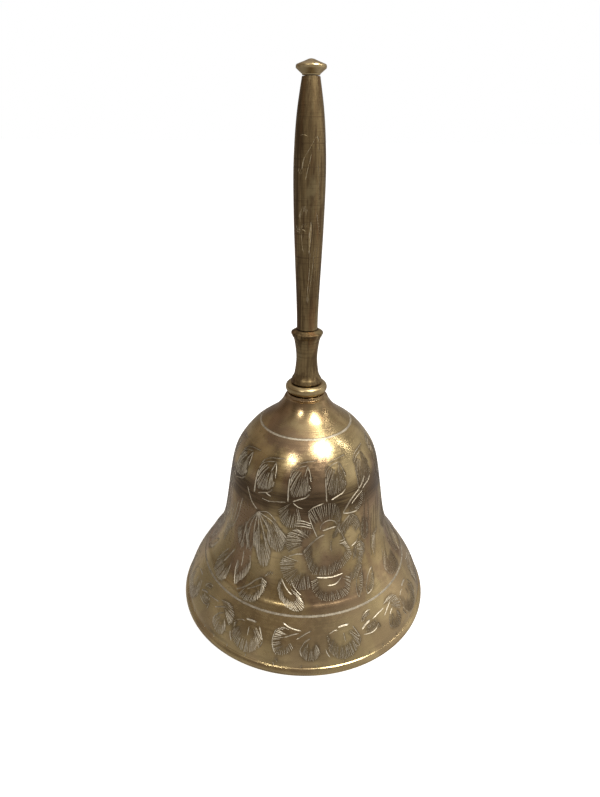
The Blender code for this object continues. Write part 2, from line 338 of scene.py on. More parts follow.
def main_flower(wall, angle, up):
    """The open flower: seven petals round a plain middle one."""
    at = Placed(wall, angle, up)
    # top petal and the small plain dome in it
    at.fringe([(-8, 15.5), (-6, 17.5), (-0.5, 19), (3, 18.3), (5.2, 13.5), (4.7, 7.5)], (0, 1), 5.8, 0.9)
    at.line([(-8, 16), (-5.6, 18), (-1.6, 19.4)], 0.5)
    at.line([(-7.8, 15), (-6.4, 10), (-4.6, 5)], 0.5)
    at.line([(-2.6, 7.7), (0.2, 8.3), (3.2, 8.6)], 0.6)
    at.line([(-3.4, 8), (-2.7, 10.6), (-0.2, 11.8), (2.4, 11), (3.5, 9)], 0.24)
    # the plain middle petal
    at.line([(-10.2, -1), (-7.1, 2.5), (-4.1, 5), (-1.6, 6)], 0.55)
    at.line([(3.5, 8), (5.6, 4.6), (6.9, 1)], 0.3)
    at.fringe([(-10.2, -1), (-9.2, -5), (-7.9, -9.5), (-5.8, -11), (-0.6, -11.5), (4.5, -10), (7.5, -8.5),
               (9.9, -6)], (0, 9), 3.6, 0.8)
    at.fringe([(9.9, -5.4), (8.8, -2), (6.8, 2)], (1, 1), 2.8, 0.9, bend=0.1)
    at.line([(0.9, 3), (0.7, 0.5), (0.9, -2)], 0.26)
    at.line([(-5.8, -11.9), (0, -12.6), (5.2, -12.2)], 0.55)
    # bottom petal
    at.fringe([(-8.1, -13.5), (-7.9, -17), (-5.7, -20.5), (-2.9, -21.5), (2.2, -21.7), (5.8, -21),
               (7.7, -18.5), (8.2, -14.5)], (0, -11), 2.8, 0.8)
    at.line([(-1.7, -15.7), (1.6, -15.6), (4.6, -13.4)], 0.5)
    # left lower petal
    at.line([(-16.3, -3.5), (-13.2, -2.2), (-10.3, -2)], 0.4)
    at.fringe([(-18.5, -3.6), (-19.9, -7), (-19.8, -10), (-18.6, -13), (-16.2, -15.5), (-12.3, -17),
               (-8.9, -16)], (-9.9, -6), 5.4, 0.85)
    # left upper petal
    for k in range(3):
        at.line([(-12.4 - 0.5 * k, 12.3 - 1.1 * k), (-9.8, 12.2 - 1.1 * k), (-6.6, 10.9 - 0.9 * k)], 0.45)
    at.fringe([(-13, 9), (-16, 6.6), (-17.2, 2.4), (-16.3, -2)], (-6, 4), 5.8, 0.85, bend=0.08)
    at.fringe([(-12.6, 8.4), (-10, 8.8), (-7, 8.2)], (-10, 0), 1.8, 0.9, width=0.3)
    # right upper petal, hatched from its two edges
    at.line([(4.4, 5.4), (6, 9), (9.6, 12)], 0.5)
    at.line([(9.8, 12.2), (13, 9), (14.4, 5), (14, 2.6)], 0.24)
    at.hatch([(5.4, 6.6), (7, 9), (9.6, 11.4)], -82, 4.6, 0.8, bend=-0.06)
    at.hatch([(10.4, 11.6), (12.8, 9), (14.2, 5.6)], -132, 4.6)
    at.line([(9.8, -2.4), (12.4, -1.2), (14.2, 1.6)], 0.5)
    # right lower petal
    at.line([(12.6, -1.8), (14.8, -2.4), (15.8, -4.4)], 0.3)
    at.fringe([(14.6, -2.6), (15.9, -5), (15.8, -8), (14.9, -11), (13.2, -13.6), (10.6, -15.6),
               (8.2, -16.5)], (10.4, -4), 3.2, 0.8)
    at.line([(11.4, -5.4), (10.4, -8.4)], 0.3)
    # the leaf at the bottom left
    at.line([(-19.8, -13), (-18.4, -16.4), (-16.3, -19)], 0.45)
    at.line([(-16, -13), (-14.8, -16.4), (-12.5, -19)], 0.35)
    at.fringe([(-19.9, -14.5), (-21.7, -17.5), (-21.6, -20.5), (-20, -23), (-16.6, -25), (-13.4, -24.5),
               (-11.8, -22.5), (-13.4, -19)], (-20.4, -14), 4.2, 0.85)


def spray(wall, angle):
    """The hanging fern spray at the left of a flower, and what lies above and below it."""
    at = Turned(wall, angle)
    # the stem comes in from the upper left, and veins spread from where it ends
    at.line([(-47, 68.6), (-44, 66), (-40.5, 63.2), (-35, 61)])
    for end, middle, width in (
        ((-19, 58.5), (-26, 61.5), 0.3), ((-16.5, 52), (-22, 58), 0.34), ((-21, 49), (-26, 55.5), 0.4),
        ((-25, 45.5), (-29, 53.5), 0.44), ((-30, 44), (-32.4, 53), 0.34), ((-35.6, 44), (-36, 53), 0.4),
        ((-41, 41), (-40, 52.4), 0.3), ((-46, 40), (-43.4, 52), 0.26),
    ):
        at.line([(-34, 60.4), middle, end], width)
    # hanging fans, bright along their lower edges
    at.fringe([(-24.6, 49.6), (-22.4, 46.8), (-18.6, 45.8), (-15.4, 45.8), (-12.6, 48.6), (-11.6, 52.6)],
              (-24, 60), 7.6, 0.8)
    at.fringe([(-27, 55.6), (-22.6, 53.4), (-19, 54.2)], (-28, 62), 2.6, 0.9, width=0.34)
    at.fringe([(-36.4, 47.4), (-34.2, 44.4), (-32, 41.8), (-29.8, 39.2), (-27.4, 37.6), (-24.8, 37.8),
               (-23, 38.8), (-22.4, 41.4), (-22.2, 44.6)], (-32.4, 55), 8.0, 0.8)
    # the pointed leaf that hangs at their left
    at.line([(-45.6, 35), (-45.4, 31.6), (-43.6, 28.2), (-41.4, 25.4)], 0.5)
    at.line([(-43, 40.4), (-42, 36.4), (-41.6, 33.4)], 0.4)
    at.line([(-37, 40), (-35.6, 37), (-35, 34.4)], 0.34)
    at.hatch([(-35, 34.4), (-36, 31.6), (-38.4, 28.6), (-41, 25.8)], 112, 4.2, 0.75)
    at.hatch([(-45.2, 33.4), (-44.6, 30.4), (-42.6, 27)], 62, 2.4)
    # the broad fan at the far left
    at.fringe([(-64, 28), (-62.4, 24.8), (-59.4, 23), (-55.6, 22), (-51.6, 22.4), (-49.4, 24.4)],
              (-50.6, 38), 6.6, 0.8)
    at.hatch([(-44.6, 50), (-42.6, 46), (-40.6, 43), (-37.6, 41.6)], 84, 4.4, 0.8, width=0.34)
    at.fringe([(-52, 47), (-50.6, 43.4), (-47.6, 41.2), (-44.4, 41)], (-45, 52), 4.2, 0.8, width=0.36)
    at.line([(-51, 38), (-54.4, 33.6), (-57, 29.6)], 0.5)
    at.line([(-57, 36), (-60.6, 32.4), (-63, 28.6)], 0.34)
    for k in range(4):
        at.line([(-51 - 4.4 * k, 62 - 2.4 * k), (-54 - 4.6 * k, 53 - 2.4 * k),
                 (-60 - 3.6 * k, 45 - 2.8 * k)], 0.3)
    at.fringe([(-66.6, 44), (-68.6, 40), (-68, 35.6)], (-58, 46), 4.6, 0.85, width=0.34)
    # the long leaf below, two lines over a hatched edge
    at.line([(-39.4, 24.3), (-33.6, 27.6), (-28.6, 31.6), (-25, 33.4)], 0.55)
    at.line([(-32.6, 26.8), (-28.4, 28.8), (-23.6, 31.2)])
    at.fringe([(-36.6, 23), (-33.6, 22.2), (-30, 22.2), (-26.6, 23.2), (-24, 25.6), (-22.4, 28.6),
               (-21.6, 32)], (-27.6, 34), 3.0, 0.75)
    at.hatch([(-23.6, 34), (-21.8, 35), (-19.8, 35.6)], 66, 1.9, 0.9)
    # short lines and the small fan over the flower's left shoulder
    at.line([(-29.4, 69.6), (-27, 69), (-24.4, 68.6)])
    at.line([(-32, 66.6), (-26, 66.4), (-20, 67), (-13, 67.6)], 0.3)
    at.fringe([(-18.2, 63.6), (-17, 60.4), (-13.6, 57.6), (-8.6, 56.8), (-4.4, 58), (-1.8, 60)],
              (-6.4, 69), 5.6, 0.8)
    at.line([(-8, 67.6), (-4.6, 66.2), (-1, 65.4)])


def right_blades(wall, angle):
    """The leaves that fill the gap at the right of a flower."""
    at = Turned(wall, angle)
    # the open pointed leaf
    at.line([(28, 61.5), (32, 64.2), (37, 66.8), (46, 69.8), (52.6, 73.2)], 0.6)
    at.line([(35.4, 64), (40, 65.8), (47.4, 67.6)], 0.36)
    at.line([(28, 61.4), (34, 60.6), (40.4, 60.2)], 0.55)
    at.hatch([(40.6, 60.4), (43.4, 61), (46.4, 63), (47.6, 66)], 128, 2.6, 0.75)
    at.hatch([(33, 61.4), (37, 61.4), (40.4, 61.6)], 58, 2.2, 0.9, width=0.3)
    # slender leaves under the petals
    at.line([(31.4, 24.4), (31.8, 28.4), (34.4, 32.6), (38.6, 36)])
    at.line([(31.4, 24.4), (35, 27.2), (37.8, 31), (38.6, 36)], 0.36)
    at.hatch([(33.8, 26.4), (36.4, 29), (38, 32.4)], 138, 2.0, 0.75)
    at.line([(37, 24), (38.8, 27.6), (42.2, 30.8), (46.8, 33)])
    at.line([(37, 24), (41.8, 25.2), (45.2, 28.4), (46.8, 33)], 0.36)
    at.hatch([(40, 24.8), (43.4, 26.4), (45.8, 29.6)], 128, 1.9, 0.75)
    at.fringe([(33.6, 42.4), (36.4, 39.6), (40.4, 38.8), (43.6, 40.4), (44.6, 43.6)], (38.4, 48), 4.4, 0.75)
    # a trailing stem with leaves
    at.line([(50, 70), (48.4, 62), (46, 54), (45, 47)], 0.36)
    at.fringe([(43.4, 52.4), (43, 48.4), (45.4, 45.6), (49, 46.6), (50.4, 50.4)], (47.4, 57), 4.4, 0.8)
    at.line([(53, 66), (52, 58), (51.4, 52)], 0.3)


def top_leaf(wall, angle):
    """One of the row of pointed leaves under the plain band."""
    at = Turned(wall, angle)
    at.line([(-8.6, 67.8), (-8.6, 72.4), (-8.3, 77.4)], 0.6)
    at.line([(-8.4, 77.6), (-6.6, 80), (-2, 81.6), (5.4, 82.4)], 0.3)
    at.line([(-8.6, 79.6), (-4.4, 82.4), (3, 83.6), (14, 84.2)], 0.22)
    at.line([(-5.2, 68.2), (-0.8, 69.2), (3.6, 70), (7.4, 71.8)], 0.5)
    for start, end in (
        ((-7.6, 76), (-3.2, 80.4)), ((-7.8, 74.4), (-1.2, 80.6)), ((-7.4, 72.4), (0.6, 80)),
    ):
        at.line([start, ((start[0] + end[0]) / 2 - 0.5, (start[1] + end[1]) / 2 + 0.3), end], 0.5)
    at.fringe([(-7, 71.4), (-5.6, 69.8), (-3, 69.9), (0, 70.4), (3.4, 71), (6.4, 72.4)], (3.4, 84), 7.0,
              0.66, width=0.36)
    at.line([(5.8, 81.8), (7.2, 79.6), (7.8, 77)], 0.36)
    at.line([(3, 78.2), (4.4, 80.2), (5.8, 82.2)], 0.36)
    at.hatch([(8, 77.6), (8.2, 76.4)], 118, 1.1, 0.7, width=0.5)
    at.hatch([(7.6, 74), (7.2, 72.8)], 118, 1.3, 0.7, width=0.5)


def palmette(wall, angle):
    """The upright leaf of the lower band."""
    at = Turned(wall, angle)
    at.line([(-2, 15.6), (0.8, 15.9), (3.6, 15.8)], 0.9)
    at.line([(5.4, 14.6), (6.8, 12.2), (8, 9.6)], 0.5)
    at.line([(8, 9.5), (7.6, 7.6), (6.3, 6)], 0.4)
    at.line([(-8.6, 8.2), (-8, 6.4), (-6.8, 4.4)], 0.5)
    at.hatch([(-7.6, 12.6), (-7.4, 10.8), (-6.8, 9)], 58, 1.7, 0.75)
    at.fringe([(-7.6, 8), (-6, 5.4), (-3.6, 3.6), (-0.6, 2.6), (2.6, 3), (5, 4.6), (6.6, 7), (7.4, 9.6)],
              (-0.2, 17), 4.8, 0.72)
    at.line([(0.4, 13.2), (0.6, 9.6)], 0.36)
    at.line([(0.6, 7.6), (0.9, 4.4)], 0.36)
    at.line([(-6.6, 13.6), (-4.2, 14.6), (-2.4, 14.6)], 0.3)


def joint_leaves(wall, angle, broad):
    """The leaves between two palmettes: one to the left of their joint, and one below it."""
    at = Turned(wall, angle)
    # the joint is at 0 degrees and 15.5 mm up
    if broad:
        at.line([(-10.2, 15.4), (-11.4, 11.6), (-11, 8.6), (-9.8, 6)], 0.5)
        at.line([(-7.4, 18), (-3.4, 16.4), (1.6, 15.5)], 0.62)
        at.fringe([(-10.2, 15), (-11.2, 11.4), (-10.8, 8.4), (-9.6, 5.8)], (-2, 12.4), 3.6, 0.75)
        at.hatch([(-9.8, 15.6), (-7.6, 16.2), (-5.4, 16)], -16, 1.9, 0.75, width=0.34)
        at.fringe([(-9.2, 5.4), (-6.6, 5.6), (-4, 6.8), (-2, 8.6)], (-5.6, 13), 2.3, 0.85, width=0.36)
        at.hatch([(-9.6, 3.4), (-8.6, 2.6)], 58, 1.5, 0.7)
        at.line([(-6.2, 12.6), (-3, 13.8), (0.4, 14.6)], 0.5)
    else:
        at.line([(-13.6, 14.6), (-12.4, 16.6), (-9.6, 17.8), (-7.4, 17.8)])
        at.hatch([(-13, 15), (-11.6, 15.8), (-9.6, 16)], 38, 2.6, 0.75)
        at.line([(-14.4, 12.0), (-12.2, 13.2), (-8.8, 14.2)], 0.9)
        at.line([(-14, 9.8), (-10, 9.2), (-7, 9.7), (-4.6, 11.6)])
        at.hatch([(-12.4, 10.4), (-10, 9.8), (-7, 10.4)], 62, 2.7, 0.62, width=0.34)
        at.hatch([(-11.4, 12.6), (-9.4, 12.6), (-6.6, 13)], -58, 2.2, 0.7, width=0.3)
        at.hatch([(-5, 11.4), (-4.6, 10)], -104, 1.9, 0.8)
        at.fringe([(8.4, 17.4), (10.8, 16.2), (12.4, 14), (12.6, 11.6), (11.4, 9.8)], (1, 16.4), 5.4, 0.66,
                  width=0.36)
        at.line([(1.4, 16.4), (5, 17.2), (8.2, 17.4)], 0.34)
        at.line([(-7.6, 13.8), (-4.2, 14.6), (0.6, 15.2)], 0.5)
    at.line([(-0.6, 12.2), (3, 14.2), (6.4, 15.6)], 0.5)
    # the leaf that hangs below
    at.line([(6, 13), (3.4, 11.4), (2.2, 9.8), (1.2, 8), (1.9, 5.6)], 0.5)
    at.line([(8, 10.4), (8.9, 9), (9.5, 7.6)], 0.55)
    at.line([(4.8, 11), (4.2, 9)], 0.34)
    at.fringe([(1.8, 6.4), (3, 4.6), (5.6, 3.7), (8.2, 4.4), (9.8, 6.6)], (6, 15), 4.2, 0.66, width=0.38)


def engrave_bell(wall):
    """Cuts the flowers, the row of leaves over them, the band under them, and the nicks round the lip."""
    for k in range(FLOWERS_ROUND):
        turn = 360.0 * k / FLOWERS_ROUND
        main_flower(wall, FLOWER_ANGLE + turn, FLOWER_UP)
        spray(wall, turn)
        right_blades(wall, turn)
    for k in range(LEAVES_ROUND):
        top_leaf(wall, LEAF_ANGLE + 360.0 * k / LEAVES_ROUND)
    for k in range(PALMETTES_ROUND):
        turn = 360.0 * k / PALMETTES_ROUND
        palmette(wall, PALMETTE_ANGLE + turn)
        joint_leaves(wall, JOINT_ANGLE + turn, broad=k % 2 == 0)
    start, end = NICK_UPS
    angle = 0.0
    while angle < LAST_NICK:
        lean = wall.random.uniform(-NICK_LEAN, NICK_LEAN)
        wall.wedge((angle, start), (angle + lean, end), NICK_WIDTH)
        angle += wall.random.uniform(*NICK_GAPS)


def engrave_grip(wall):
    """Cuts the scuffs and worn lines of the handle, three times round."""
    for turn in (0.0, 128.0, 241.0):
        at = Turned(wall, turn)
        # the worn leaf under the top: its outline, open at the foot, and the veins in it
        at.line([(-38, 67.4), (-24, 67.8), (-8, 67.2)], 0.26)
        at.line([(-28, 57), (-20, 60.4), (-6, 62.6), (12, 65.4), (26, 67.4), (33, 66), (34, 62.6)], 0.34)
        at.line([(-14, 53.6), (-4, 58), (8, 62.4)], 0.24)
        at.line([(30, 58.6), (36, 53.4), (38, 47)], 0.26)
        at.hatch([(-44, 56.4), (-38, 55.8), (-32, 55.6)], 70, 1.6, 0.7, width=0.3)
        # the band of short cuts, with a fan that opens over it
        at.line([(-56, 37.0), (-40, 36.6), (-22, 37.6), (-12, 36.8)], 0.36)
        at.hatch([(-54, 37.6), (-38, 37.2), (-24, 38.2), (-8, 38.6)], 76, 1.5, 0.75, width=0.36)
        at.fringe([(-40, 42), (-30, 44.4), (-16, 45.4), (-6, 44.2)], (-22, 37), 2.2, 0.75, width=0.28)
        at.hatch([(30, 43), (36, 41.4), (42, 38.4), (46, 36)], 118, 1.5, 0.85, width=0.3)
        # the long chip that points down
        wall.strokes.append([
            ((turn + 8, 40.2), 0.1), ((turn + 10, 38.6), 0.5), ((turn + 9, 36.2), 0.74),
            ((turn + 7, 33.6), 0.62), ((turn + 5, 31.2), 0.34), ((turn + 3, 29.2), 0.06),
        ])
        at.line([(-30, 36), (-26, 32.4), (-20, 29.4)], 0.26)
        # long lines drawn together downwards
        at.line([(24, 30.6), (20, 24), (10, 16.4), (0, 10.8)], 0.3)
        at.line([(8, 29.4), (6, 23), (0, 15.4), (-4, 11.4)], 0.28)
        at.line([(38, 32), (34, 25), (28, 19)], 0.22)


# ---- Outlines ----


def turn_at(before, here, after):
    """How far an outline turns at a point, in radians."""
    first, second = here - before, after - here
    if first.length < 1e-6 or second.length < 1e-6:
        return 0.0
    return first.angle(second)


def outline(node):
    """The outline of a turned CAD node in the (radius, height) plane. It runs up the outside, and it is a
    loop, or a line from the axis to the axis."""
    mesh = nodes[node].data
    spots, links = {}, {}

    def key(vertex):
        found = (round(vertex.co.x / MM * SAME_SPOT), round(vertex.co.z / MM * SAME_SPOT))
        spots[found] = Vector((vertex.co.x / MM, vertex.co.z / MM))
        return found

    for edge in mesh.edges:
        ends = [mesh.vertices[i] for i in edge.vertices]
        if all(abs(v.co.y) < 1e-7 and v.co.x > -1e-7 for v in ends):
            a, b = (key(v) for v in ends)
            if a != b:
                links.setdefault(a, set()).add(b)
                links.setdefault(b, set()).add(a)
    ends = [k for k in links if len(links[k]) == 1]
    if ends:
        start = min(ends, key=lambda k: k[1])
        walk = [start, *links[start]]
    else:
        start = max(links, key=lambda k: (k[0], -k[1]))
        walk = [start, max(links[start], key=lambda k: k[1] - start[1])]
    while True:
        following = [k for k in links[walk[-1]] if k != walk[-2]]
        if not following or following[0] == start:
            break
        walk.append(following[0])
    points = [spots[k] for k in walk]
    if ends:
        return points
    around = zip(points[-1:] + points, points, points[1:] + points[:1])
    corners = [i for i, three in enumerate(around) if turn_at(*three) > CORNER]
    first = min(corners, key=lambda i: (points[i].y, points[i].x))
    return points[first:] + points[:first]


def smooth(points, steps):
    """The open line with its stretches between corners turned into smooth curves."""
    inner = range(1, len(points) - 1)
    bends = [i for i in inner if turn_at(points[i - 1], points[i], points[i + 1]) > CORNER]
    stops = [0, *bends, len(points) - 1]
    made = [points[0]]
    for low, high in zip(stops, stops[1:]):
        stretch = points[low:high + 1]
        if len(stretch) == 2:
            made.append(stretch[1])
            continue
        ends = [2 * stretch[0] - stretch[1], *stretch, 2 * stretch[-1] - stretch[-2]]
        for four in zip(ends, ends[1:], ends[2:], ends[3:]):
            made += [curve_at(*four, i / steps) for i in range(1, steps + 1)]
    return made


def broken(points, closed=False):
    """The line with its corners rounded, and a point kept close on each side of them."""
    made = []
    count = len(points)
    for i, here in enumerate(points):
        before, after = points[i - 1], points[(i + 1) % count]
        if (not closed and i in (0, count - 1)) or turn_at(before, here, after) < CORNER:
            made.append(here)
            continue
        back, ahead = before - here, after - here
        near = min(EDGE, 0.3 * back.length, 0.3 * ahead.length)
        back, ahead = back.normalized(), ahead.normalized()
        made.append(here + back * near * 1.5)
        for part in (0.0, 0.33, 0.67, 1.0):
            made.append(here + back * near * (1 - part) ** 2 + ahead * near * part**2)
        made.append(here + ahead * near * 1.5)
    return made


def between(loop, start, end):
    """The part of a loop from its point nearest to start, round to its point nearest to end."""
    low = nearest(loop, Vector(start))
    from_start = loop[low:] + loop[:low]
    return from_start[:nearest(from_start, Vector(end)) + 1]


def nearest(points, spot):
    """The number of the point nearest to a spot."""
    return min(range(len(points)), key=lambda i: (points[i] - spot).length)


# ---- Meshes ----


def added(name, data):
    """A new object in the scene with that data."""
    made = bpy.data.objects.new(name, data)
    bpy.context.scene.collection.objects.link(made)
    return made


def finished(name, bm, finishes, sharp=35.0):
    """The bmesh, in millimetres, as an object with smooth shading up to that angle."""
    bmesh.ops.recalc_face_normals(bm, faces=bm.faces)
    bmesh.ops.scale(bm, vec=(MM, MM, MM), verts=bm.verts)
    mesh = bpy.data.meshes.new(name)
    bm.to_mesh(mesh)
    bm.free()
    mesh.shade_smooth()
    mesh.set_sharp_from_angle(angle=math.radians(sharp))
    for finish in finishes:
        mesh.materials.append(finish)
    return added(name, mesh)


def bridge(bm, rings, closed):
    """Adds the faces between neighbouring rings of vertices, and from the last to the first if closed."""
    for below, above in zip(rings, rings[1:] + (rings[:1] if closed else [])):
        for k in range(len(below)):
            n = (k + 1) % len(below)
            bm.faces.new((below[k], below[n], above[n], above[k]))


def add_turned(bm, points, angles, closed):
    """Adds the surface that a line in the (radius, height) plane sweeps round the axis."""
    rings = []
    for radius, height in points:
        rings.append([bm.verts.new((radius * math.sin(a), -radius * math.cos(a), height)) for a in angles])
    bridge(bm, rings, closed)


class Engraver:
    """Makes the mesh of a wall with its strokes sunk into it. It works in a plane, with the distance round
    at a reference radius across, and the distance up the wall."""

    def __init__(self, wall, reference, columns, row_gap, seam):
        self.wall = wall
        self.reference = reference
        self.width = 2 * math.pi * reference
        self.columns = columns
        self.row_gap = row_gap
        self.seam = seam  # the angle, in degrees, at which the grid begins and ends
        self.bands = []  # the stretches, from one distance up to another, of the lines turned round the wall
        self.close = []  # the other stretches whose rows are close together
        self.climb = list(accumulate((height for _, height in wall.profile), max))
        # the distances up at which the profile has a corner, its two ends among them
        profile = [Vector(p) for p in wall.profile]
        triples = zip(profile, profile[1:], profile[2:])
        corners = [i for i, three in enumerate(triples, 1) if turn_at(*three) > CORNER]
        self.creases = [0.0, *(wall.ups[i] for i in corners), wall.length]

    def angle(self, across):
        """The angle round the wall, in radians, at that distance across."""
        return across / self.reference + math.radians(self.seam)

    def ground(self, across, up):
        """The point in space on the wall before it was cut."""
        radius, height = self.wall.at(up)
        angle = self.angle(across)
        return Vector((radius * math.sin(angle), -radius * math.cos(angle), height))

    def normal(self, angle, up, near):
        """The wall's outward normal at an angle and a distance up, on the side of a crease where near is."""
        low, high = 0.0, self.wall.length
        for a, b in zip(self.creases, self.creases[1:]):
            if a <= near <= b:
                low, high = a, b
        r0, z0 = self.wall.at(max(low, up - NORMAL_REACH))
        r1, z1 = self.wall.at(min(high, up + NORMAL_REACH))
        along = Vector((r1 - r0, z1 - z0)).normalized()
        return Vector((along.y * math.sin(angle), -along.y * math.cos(angle), -along.x))

    def up_at(self, spot):
        """The distance up at which the wall first climbs to a point's height."""
        i = min(max(bisect_left(self.climb, spot.z), 1), len(self.climb) - 1)
        (_, low), (_, high) = self.wall.profile[i - 1:i + 1]
        part = clamped((spot.z - low) / (high - low)) if high > low else 1.0
        return self.wall.ups[i - 1] + (self.wall.ups[i] - self.wall.ups[i - 1]) * part

    def rows(self):
        """The grid's distances up: close together in the turned lines and at the foot, wider elsewhere."""
        close = self.bands + self.close
        stops = sorted({*self.creases, *(end for stretch in close for end in stretch)})
        found = []
        for low, high in zip(stops, stops[1:]):
            fine = any(start - 1e-6 < low and high < end + 1e-6 for start, end in close)
            steps = max(1, math.ceil((high - low) / (FINE_ROW_GAP if fine else self.row_gap)))
            found += [low + (high - low) * i / steps for i in range(steps)]
        return [*found, self.wall.length]

    def copies(self):
        """Every stroke in the plane, and again on the far side of the seam where it crosses it."""
        for stroke in self.wall.strokes:
            spots = [(math.radians(angle - self.seam) * self.reference, up) for (angle, up), _ in stroke]
            ups = [s for _, s in spots]
            if min(ups) < RIM_CLEAR or max(ups) > self.wall.length - RIM_CLEAR:
                continue
            middle = spots[len(spots) // 2][0]
            wrap = -math.floor(middle / self.width) * self.width
            for extra in (0.0, self.width, -self.width):
                moved = [(x + wrap + extra, s) for x, s in spots]
                if max(x for x, _ in moved) > -1.0 and min(x for x, _ in moved) < self.width + 1.0:
                    yield moved, [half for _, half in stroke]

    def sampled(self, spots, halves):
        """Points close together along a stroke, each with its half width, which ends in nothing."""
        lengths = [math.hypot(b[0] - a[0], b[1] - a[1]) for a, b in zip(spots, spots[1:])]
        total, done = sum(lengths), 0.0
        for i, length in enumerate(lengths):
            (x0, s0), (x1, s1) = spots[i], spots[i + 1]
            steps = max(1, math.ceil(length / SAMPLE_GAP))
            for k in range(steps):
                part = k / steps
                along = done + length * part
                half = halves[i] + (halves[i + 1] - halves[i]) * part
                yield x0 + (x1 - x0) * part, s0 + (s1 - s0) * part, min(half, along, total - along)
            done += length

    def drawn(self):
        """The strokes' centre lines and sides as points and edges in the plane, and samples along them."""
        points, edges, samples = [], [], []
        for spots, halves in self.copies():
            centre, left, right = [], [], []
            last = len(spots) - 1
            for i, ((x, s), half) in enumerate(zip(spots, halves)):
                stretch = self.wall.at(s)[0] / self.reference
                before, after = spots[max(0, i - 1)], spots[min(last, i + 1)]
                dx, ds = (after[0] - before[0]) * stretch, after[1] - before[1]
                length = math.hypot(dx, ds)
                dx, ds = dx / length, ds / length
                lean = min(max(2 * (dx * FACET_LIGHT.y - ds * FACET_LIGHT.x), -1), 1) * FACET_LEAN * half
                for chain, aside in ((centre, lean), (left, half), (right, -half)):
                    chain.append(len(points))
                    points.append((x - ds * aside / stretch, s + dx * aside))
            for chain in (centre, left, right):
                edges += zip(chain, chain[1:])
            for end in (0, -1):
                edges += [(left[end], centre[end]), (centre[end], right[end])]
            samples += self.sampled(spots, halves)
        return points, edges, samples

    def add_grid(self, points, edges, samples, tree):
        """Adds the grid's points, apart from those near a stroke, and the edges that have to stay whole: the
        rows at the turned lines and creases, and the seam."""
        reach = max([half for _, _, half in samples]) + CLEAR
        for s in self.rows():
            firm = any(low - 1e-6 < s < high + 1e-6 for low, high in self.bands)
            firm = firm or min(abs(s - crease) for crease in self.creases) < 1e-6
            row = len(points)
            for k in range(self.columns + 1):
                x = self.width * k / self.columns
                if not firm and 0 < k < self.columns:
                    around = tree.find_range(self.ground(x, s), reach)
                    if any(gap < samples[i][2] + CLEAR for _, i, gap in around):
                        continue
                points.append((x, s))
            if firm:
                edges += [(i, i + 1) for i in range(row, len(points) - 1)]
        for end in (0.0, self.width):
            seam = sorted((s, i) for i, (x, s) in enumerate(points) if abs(x - end) < 1e-9)
            edges += [(a, b) for (_, a), (_, b) in zip(seam, seam[1:])]

    def build(self, bm):
        """Adds the wall to the bmesh, with each face's kind and how tarnished each vertex is."""
        points, edges, samples = self.drawn()
        tree = kdtree.KDTree(len(samples))
        for i, (x, s, _) in enumerate(samples):
            tree.insert(self.ground(x, s), i)
        tree.balance()
        self.add_grid(points, edges, samples, tree)
        spots, _, triangles, *_ = delaunay_2d_cdt([Vector(p) for p in points], edges, [], 0, 1e-5, False)
        kind = bm.faces.layers.int.new("kind")
        tarnish = bm.verts.layers.float.new("tarnish")
        depths, verts = [], []
        for x, s in spots:
            here = self.ground(x, s)
            around = tree.find_range(here, TARNISH_REACH)
            depth = max((samples[i][2] - gap for _, i, gap in around), default=0.0)
            depth = min(depth, DEEPEST) if depth > SHALLOWEST else 0.0
            vert = bm.verts.new(here - depth * self.normal(self.angle(x), s, s))
            vert[tarnish] = min(1.0, len(around) / TARNISH_CROWD)
            depths.append(depth)
            verts.append(vert)
        for triangle in triangles:
            across, up = (sum(spots[i][axis] for i in triangle) / 3 for axis in (0, 1))
            if not 0 < across < self.width:
                continue
            face = bm.faces.new([verts[i] for i in triangle])
            if max(depths[i] for i in triangle) > CUT_DEPTH:
                face[kind] = CUT
            elif any(low < up < high for low, high in self.bands):
                face[kind] = TURNED
            else:
                face[kind] = GROUND
        for vert in verts:
            if not vert.link_faces:
                bm.verts.remove(vert)


